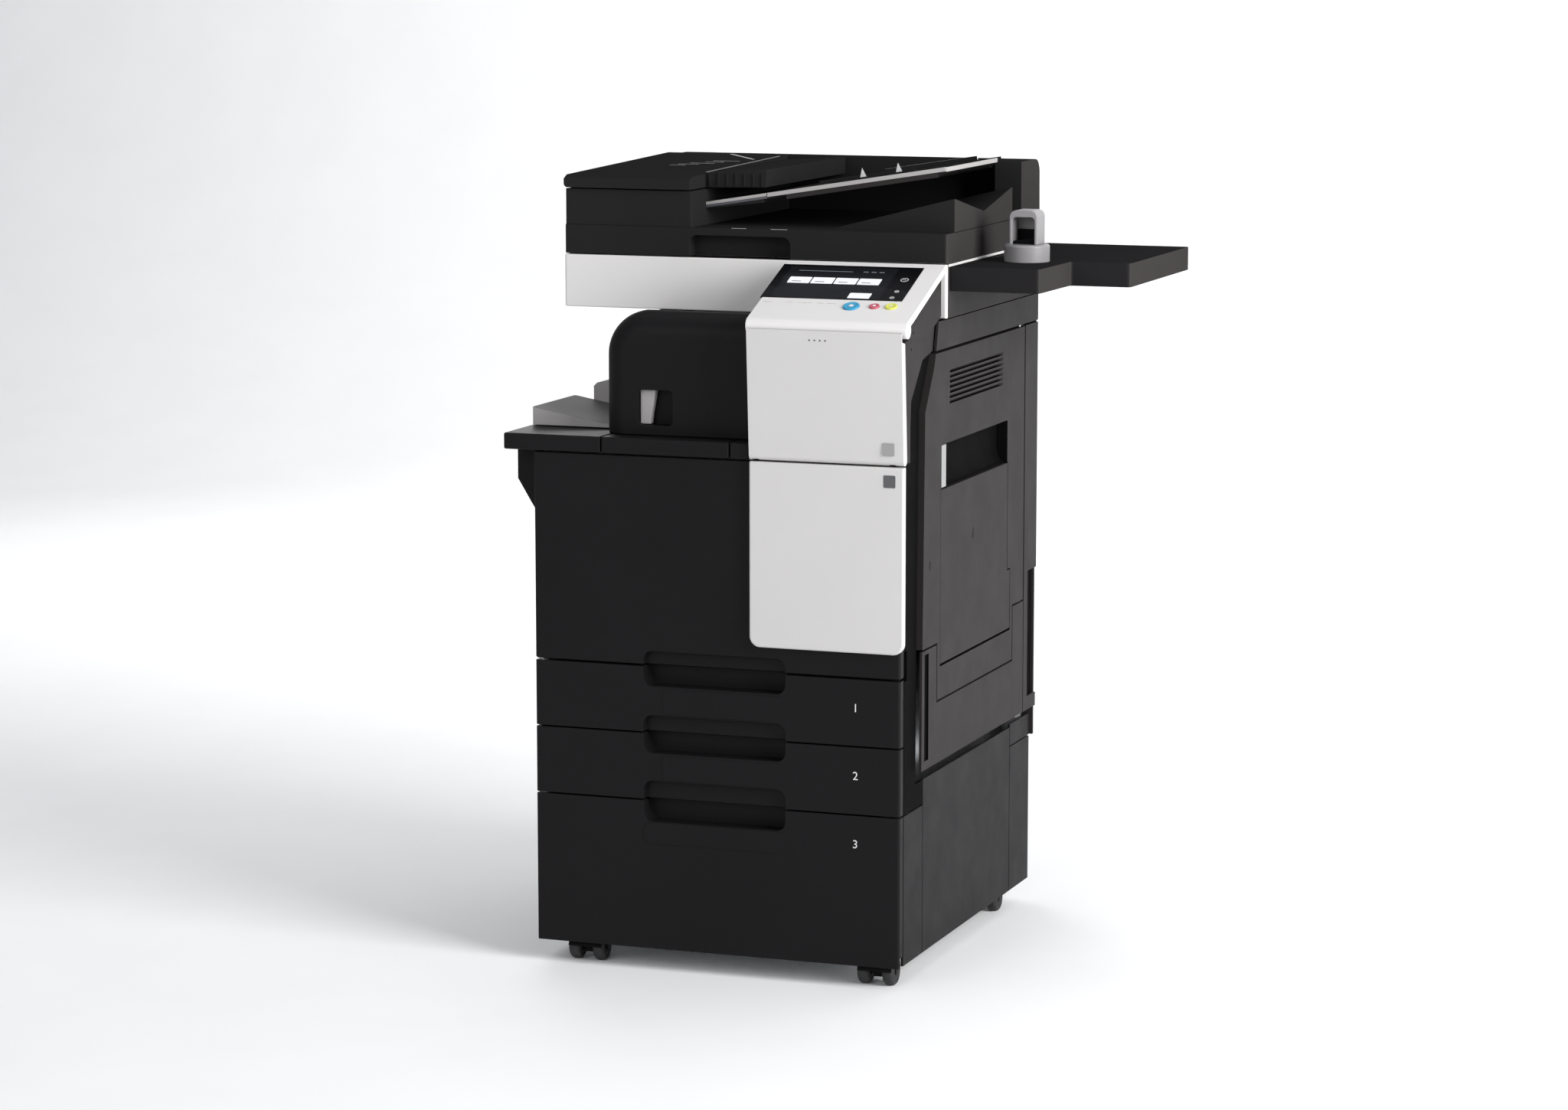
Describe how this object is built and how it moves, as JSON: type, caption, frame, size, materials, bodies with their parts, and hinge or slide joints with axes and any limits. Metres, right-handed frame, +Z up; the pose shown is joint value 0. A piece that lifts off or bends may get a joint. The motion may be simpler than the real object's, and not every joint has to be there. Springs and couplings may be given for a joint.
{
  "type": "photocopier",
  "caption": "Floor-standing colour copier with document feeder, tilting operation panel, paper drawers on a cabinet, side bypass tray, inner finisher and working table.",
  "frame": {"origin": "middle of the footprint on the floor, the working table and exit ledge included", "axes": "+Z up, +X to the right seen from the front, -Y out of the drawer fronts"},
  "size_m": [0.849, 0.693, 1.1754],
  "materials": {
    "black_plastic": "fine texture",
    "feeder_plastic": "fine texture",
    "charcoal_plastic": "fine texture",
    "cabinet_paint": "satin",
    "white_plastic": "satin",
    "grey_plastic": "satin",
    "light_plastic": "satin",
    "zinc_steel": "zinc plated",
    "dark_steel": "satin",
    "panel_glass": "gloss",
    "clear_glass": "polished",
    "blue_key": "gloss",
    "red_key": "gloss",
    "yellow_key": "gloss",
    "wheel_rubber": "matte",
    "roller_rubber": "matte",
    "toner_plastic": "satin"
  },
  "bodies": {
    "machine": {"cabinet_frame": "zinc_steel", "cabinet_panels": "cabinet_paint", "drawer_rails": "zinc_steel", "body_frame": "zinc_steel", "rear_cover": "charcoal_plastic", "left_cover": "black_plastic", "right_covers": "charcoal_plastic", "exit_ledge": "black_plastic", "scanner_housing": "charcoal_plastic", "scanner_front_cover": "white_plastic", "platen_glass": "clear_glass", "adf_hinge_brackets": "dark_steel", "power_inlet": "black_plastic", "toner_cartridges": "toner_plastic", "drum_units": "black_plastic", "transfer_belt": "roller_rubber", "fuser_unit": "black_plastic", "working_table": "black_plastic", "finger_reader": "light_plastic", "cover_screws": "zinc_steel"},
    "front_door": {"front_door": "black_plastic", "front_door_trim": "white_plastic"},
    "upper_front_door": {"upper_front_door": "white_plastic"},
    "operation_panel": {"panel_case": "white_plastic", "touch_glass": "panel_glass"},
    "start_key": {"start_key": "blue_key"},
    "stop_key": {"stop_key": "red_key"},
    "reset_key": {"reset_key": "yellow_key"},
    "right_door": {"right_door": "charcoal_plastic"},
    "bypass_tray": {"bypass_tray": "charcoal_plastic"},
    "document_feeder": {"adf_base": "feeder_plastic"},
    "feeder_lid": {"adf_lid": "feeder_plastic"},
    "feed_roller": {"feed_roller": "roller_rubber"},
    "document_tray": {"document_tray": "grey_plastic"},
    "document_guide_front": {"document_guide_front": "feeder_plastic"},
    "document_guide_back": {"document_guide_back": "feeder_plastic"},
    "scan_carriage": {"scan_carriage": "black_plastic"},
    "finisher": {"finisher_housing": "black_plastic", "output_tray": "grey_plastic"},
    "drawer_1": {"drawer_1_front": "black_plastic", "drawer_1_tray": "dark_steel"},
    "drawer_1_lift": {"drawer_1_lift_plate": "zinc_steel"},
    "drawer_1_guide_front": {"drawer_1_guide_front": "grey_plastic"},
    "drawer_1_guide_back": {"drawer_1_guide_back": "grey_plastic"},
    "drawer_2": {"drawer_2_front": "black_plastic", "drawer_2_tray": "dark_steel"},
    "drawer_2_lift": {"drawer_2_lift_plate": "zinc_steel"},
    "drawer_2_guide_front": {"drawer_2_guide_front": "grey_plastic"},
    "drawer_2_guide_back": {"drawer_2_guide_back": "grey_plastic"},
    "drawer_3": {"drawer_3_front": "black_plastic", "drawer_3_tray": "dark_steel"},
    "drawer_3_lift": {"drawer_3_lift_plate": "zinc_steel"},
    "caster_front_left": {"caster_fork_front_left": "dark_steel"},
    "wheels_front_left": {"caster_wheels_front_left": "wheel_rubber"},
    "caster_front_right": {"caster_fork_front_right": "dark_steel"},
    "wheels_front_right": {"caster_wheels_front_right": "wheel_rubber"},
    "caster_back_left": {"caster_fork_back_left": "dark_steel"},
    "wheels_back_left": {"caster_wheels_back_left": "wheel_rubber"},
    "caster_back_right": {"caster_fork_back_right": "dark_steel"},
    "wheels_back_right": {"caster_wheels_back_right": "wheel_rubber"}
  },
  "joints": [
    {"name": "drawer_1_slide", "type": "slide", "parent": "machine", "child": "drawer_1", "axis": [0, -1, 0], "range_m": [0, 0.42]},
    {"name": "drawer_1_lift_hinge", "type": "hinge", "parent": "drawer_1", "child": "drawer_1_lift", "pos_m": [-0.2195, -0.0215, 0.369], "axis": [0, -1, 0], "range_deg": [0, 11]},
    {"name": "drawer_1_guide_front_slide", "type": "slide", "parent": "drawer_1", "child": "drawer_1_guide_front", "axis": [0, 1, 0], "range_m": [0, 0.055]},
    {"name": "drawer_1_guide_back_slide", "type": "slide", "parent": "drawer_1", "child": "drawer_1_guide_back", "axis": [0, -1, 0], "range_m": [0, 0.055]},
    {"name": "drawer_2_slide", "type": "slide", "parent": "machine", "child": "drawer_2", "axis": [0, -1, 0], "range_m": [0, 0.42]},
    {"name": "drawer_2_lift_hinge", "type": "hinge", "parent": "drawer_2", "child": "drawer_2_lift", "pos_m": [-0.2195, -0.0215, 0.269], "axis": [0, -1, 0], "range_deg": [0, 11]},
    {"name": "drawer_2_guide_front_slide", "type": "slide", "parent": "drawer_2", "child": "drawer_2_guide_front", "axis": [0, 1, 0], "range_m": [0, 0.055]},
    {"name": "drawer_2_guide_back_slide", "type": "slide", "parent": "drawer_2", "child": "drawer_2_guide_back", "axis": [0, -1, 0], "range_m": [0, 0.055]},
    {"name": "drawer_3_slide", "type": "slide", "parent": "machine", "child": "drawer_3", "axis": [0, -1, 0], "range_m": [0, 0.45]},
    {"name": "drawer_3_lift_slide", "type": "slide", "parent": "drawer_3", "child": "drawer_3_lift", "axis": [0, 0, 1], "range_m": [0, 0.14]},
    {"name": "front_door_hinge", "type": "hinge", "parent": "machine", "child": "front_door", "pos_m": [-0.0975, -0.3135, 0.472], "axis": [1, 0, 0], "range_deg": [0, 88]},
    {"name": "upper_front_door_hinge", "type": "hinge", "parent": "machine", "child": "upper_front_door", "pos_m": [-0.0975, -0.3275, 0.772], "axis": [1, 0, 0], "range_deg": [0, 85]},
    {"name": "operation_panel_tilt", "type": "hinge", "parent": "machine", "child": "operation_panel", "pos_m": [-0.0975, -0.3315, 0.957], "axis": [1, 0, 0], "range_deg": [0, 20]},
    {"name": "start_key_press", "type": "slide", "parent": "operation_panel", "child": "start_key", "axis": [0, 0.3593, -0.9332], "range_m": [0, 0.002], "stiffness_N_per_m": 300, "springref_m": -0.001},
    {"name": "stop_key_press", "type": "slide", "parent": "operation_panel", "child": "stop_key", "axis": [0, 0.3593, -0.9332], "range_m": [0, 0.002], "stiffness_N_per_m": 300, "springref_m": -0.001},
    {"name": "reset_key_press", "type": "slide", "parent": "operation_panel", "child": "reset_key", "axis": [0, 0.3593, -0.9332], "range_m": [0, 0.002], "stiffness_N_per_m": 300, "springref_m": -0.001},
    {"name": "right_door_hinge", "type": "hinge", "parent": "machine", "child": "right_door", "pos_m": [0.1845, 0.2465, 0.7], "axis": [0, 0, 1], "range_deg": [0, 95]},
    {"name": "bypass_tray_hinge", "type": "hinge", "parent": "right_door", "child": "bypass_tray", "pos_m": [0.187, 0.0095, 0.458], "axis": [0, 1, 0], "range_deg": [0, 72]},
    {"name": "document_feeder_hinge", "type": "hinge", "parent": "machine", "child": "document_feeder", "pos_m": [-0.0975, 0.3325, 1.048], "axis": [-1, 0, 0], "range_deg": [0, 60]},
    {"name": "feeder_lid_hinge", "type": "hinge", "parent": "document_feeder", "child": "feeder_lid", "pos_m": [-0.3955, 0.0625, 1.14], "axis": [0, -1, 0], "range_deg": [0, 78]},
    {"name": "feed_roller_spin", "type": "hinge", "parent": "document_feeder", "child": "feed_roller", "pos_m": [-0.3095, 0.0665, 1.112], "axis": [0, 1, 0], "continuous": true},
    {"name": "document_tray_hinge", "type": "hinge", "parent": "document_feeder", "child": "document_tray", "pos_m": [-0.1035, 0.0925, 1.1235], "axis": [0, -1, 0], "range_deg": [0, 35]},
    {"name": "document_guide_front_slide", "type": "slide", "parent": "document_tray", "child": "document_guide_front", "axis": [0, 1, 0], "range_m": [0, 0.06]},
    {"name": "document_guide_back_slide", "type": "slide", "parent": "document_tray", "child": "document_guide_back", "axis": [0, -1, 0], "range_m": [0, 0.06]},
    {"name": "scan_carriage_slide", "type": "slide", "parent": "machine", "child": "scan_carriage", "axis": [1, 0, 0], "range_m": [0, 0.45]},
    {"name": "finisher_slide", "type": "slide", "parent": "machine", "child": "finisher", "axis": [-1, 0, 0], "range_m": [0, 0.1]},
    {"name": "caster_front_left_swivel", "type": "hinge", "parent": "machine", "child": "caster_front_left", "pos_m": [-0.3105, -0.2765, 0.03], "axis": [0, 0, 1], "continuous": true},
    {"name": "wheels_front_left_roll", "type": "hinge", "parent": "caster_front_left", "child": "wheels_front_left", "pos_m": [-0.3105, -0.2865, 0.02], "axis": [1, 0, 0], "continuous": true},
    {"name": "caster_front_right_swivel", "type": "hinge", "parent": "machine", "child": "caster_front_right", "pos_m": [0.1415, -0.2765, 0.03], "axis": [0, 0, 1], "continuous": true},
    {"name": "wheels_front_right_roll", "type": "hinge", "parent": "caster_front_right", "child": "wheels_front_right", "pos_m": [0.1415, -0.2865, 0.02], "axis": [1, 0, 0], "continuous": true},
    {"name": "caster_back_left_swivel", "type": "hinge", "parent": "machine", "child": "caster_back_left", "pos_m": [-0.3105, 0.2275, 0.03], "axis": [0, 0, 1], "continuous": true},
    {"name": "wheels_back_left_roll", "type": "hinge", "parent": "caster_back_left", "child": "wheels_back_left", "pos_m": [-0.3105, 0.2175, 0.02], "axis": [1, 0, 0], "continuous": true},
    {"name": "caster_back_right_swivel", "type": "hinge", "parent": "machine", "child": "caster_back_right", "pos_m": [0.1415, 0.2275, 0.03], "axis": [0, 0, 1], "continuous": true},
    {"name": "wheels_back_right_roll", "type": "hinge", "parent": "caster_back_right", "child": "wheels_back_right", "pos_m": [0.1415, 0.2175, 0.02], "axis": [1, 0, 0], "continuous": true}
  ],
  "couplings": [
    {"joint": "drawer_1_guide_back_slide", "follows": "drawer_1_guide_front_slide", "ratio": 1},
    {"joint": "drawer_2_guide_back_slide", "follows": "drawer_2_guide_front_slide", "ratio": 1},
    {"joint": "document_guide_back_slide", "follows": "document_guide_front_slide", "ratio": 1}
  ]
}
